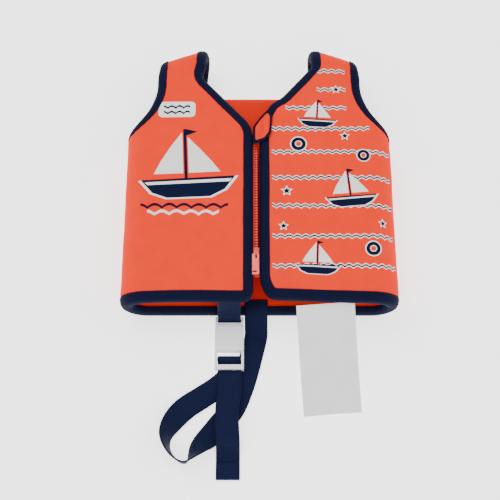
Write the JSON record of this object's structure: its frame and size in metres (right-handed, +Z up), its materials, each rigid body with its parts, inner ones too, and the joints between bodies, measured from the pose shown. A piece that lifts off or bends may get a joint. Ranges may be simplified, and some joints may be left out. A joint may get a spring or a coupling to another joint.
{
  "type": "child swim vest",
  "caption": "Child's padded swim vest on its back: bound edges, front zip with guard flap, side-release buckle and crotch strap.",
  "frame": {"origin": "on the resting face of the back, midway between the sides, 150 mm above the hem", "axes": "+X across the chest from the zip's box side to the other front, +Y from hem to shoulders, +Z up from the back to the front"},
  "size_m": [0.3, 0.4951, 0.0614],
  "materials": {
    "cover": "matt knitted fabric over foam",
    "lining": "matt knitted fabric",
    "foam": "soft closed-cell foam",
    "binding": "stretch binding tape",
    "webbing": "ribbed woven webbing",
    "zip_tape": "woven tape",
    "zip_plastic": "moulded plastic",
    "buckle_plastic": "smooth moulded plastic",
    "label": "satin label cloth"
  },
  "bodies": {
    "vest": {"back_cover": "cover", "back_foam": "foam", "back_lining": "lining", "left_front_cover": "cover", "left_front_foam": "foam", "left_front_lining": "lining", "right_front_cover": "cover", "right_front_foam": "foam", "right_front_lining": "lining", "left_shoulder_cover": "cover", "left_shoulder_foam": "foam", "left_shoulder_lining": "lining", "right_shoulder_cover": "cover", "right_shoulder_foam": "foam", "right_shoulder_lining": "lining", "back_hem_binding": "binding", "left_hem_binding": "binding", "right_side_hem_binding": "binding", "left_edge_binding": "binding", "left_neck_binding": "binding", "right_neck_binding": "binding", "left_armhole_binding": "binding", "right_armhole_binding": "binding", "left_armhole_back_binding": "binding", "right_armhole_back_binding": "binding", "left_armhole_top_binding": "binding", "right_armhole_top_binding": "binding", "zip_tape_left": "zip_tape", "zip_tape_right_top": "zip_tape", "zip_teeth_left": "zip_plastic", "zip_teeth_right_top": "zip_plastic", "zip_top_stops": "zip_plastic", "zip_box": "zip_plastic", "webbing_loop": "webbing", "buckle_plug": "buckle_plastic"},
    "front_right": {"right_corner_cover": "cover", "right_corner_foam": "foam", "right_corner_lining": "lining", "right_hem_binding": "binding", "right_edge_binding": "binding", "zip_tape_right": "zip_tape", "zip_teeth_right": "zip_plastic", "zip_pin": "zip_plastic"},
    "guard": {"zip_guard": "cover", "zip_guard_binding": "binding"},
    "slider": {"zip_slider": "zip_plastic"},
    "pull": {"zip_pull": "zip_plastic"},
    "socket": {"buckle_socket": "buckle_plastic", "strap_turn": "webbing", "crotch_strap": "webbing", "strap_tail": "webbing", "strap_end": "webbing"},
    "arm_left": {"buckle_arm_left": "buckle_plastic"},
    "arm_right": {"buckle_arm_right": "buckle_plastic"},
    "label": {"care_label": "label"}
  },
  "joints": [
    {"name": "front_right_open", "type": "hinge", "parent": "vest", "child": "front_right", "pos_m": [0.001, 0.03, 0.0582], "axis": [-0.545, 0.8384, 0], "range_deg": [0, 50]},
    {"name": "zip_guard_lift", "type": "hinge", "parent": "vest", "child": "guard", "pos_m": [-0.007, 0.047, 0.0563], "axis": [0, -1, 0], "range_deg": [0, 125]},
    {"name": "zip_slide", "type": "slide", "parent": "vest", "child": "slider", "axis": [0, 1, 0], "range_m": [0, 0.066]},
    {"name": "zip_pull_swing", "type": "hinge", "parent": "slider", "child": "pull", "pos_m": [-0.0036, -0.0943, 0.0509], "axis": [-1, 0, 0], "range_deg": [0, 90]},
    {"name": "buckle_unclip", "type": "slide", "parent": "vest", "child": "socket", "axis": [0, -1, 0], "range_m": [0, 0.028], "deforming": ["buckle_arm_left", "buckle_arm_right"]},
    {"name": "buckle_arm_right_squeeze", "type": "hinge", "parent": "vest", "child": "arm_right", "pos_m": [-0.024, -0.1635, 0.0077], "axis": [0, 0, -1], "range_deg": [0, 9], "stiffness_Nm_per_rad": 0.05},
    {"name": "buckle_arm_left_squeeze", "type": "hinge", "parent": "vest", "child": "arm_left", "pos_m": [-0.041, -0.1635, 0.0077], "axis": [0, 0, 1], "range_deg": [0, 9], "stiffness_Nm_per_rad": 0.05},
    {"name": "label_lift", "type": "hinge", "parent": "front_right", "child": "label", "pos_m": [0.0695, -0.1512, 0.0474], "axis": [-1, 0, 0], "range_deg": [0, 100]}
  ],
  "couplings": [
    {"joint": "buckle_arm_left_squeeze", "follows": "buckle_arm_right_squeeze", "ratio": 1}
  ]
}
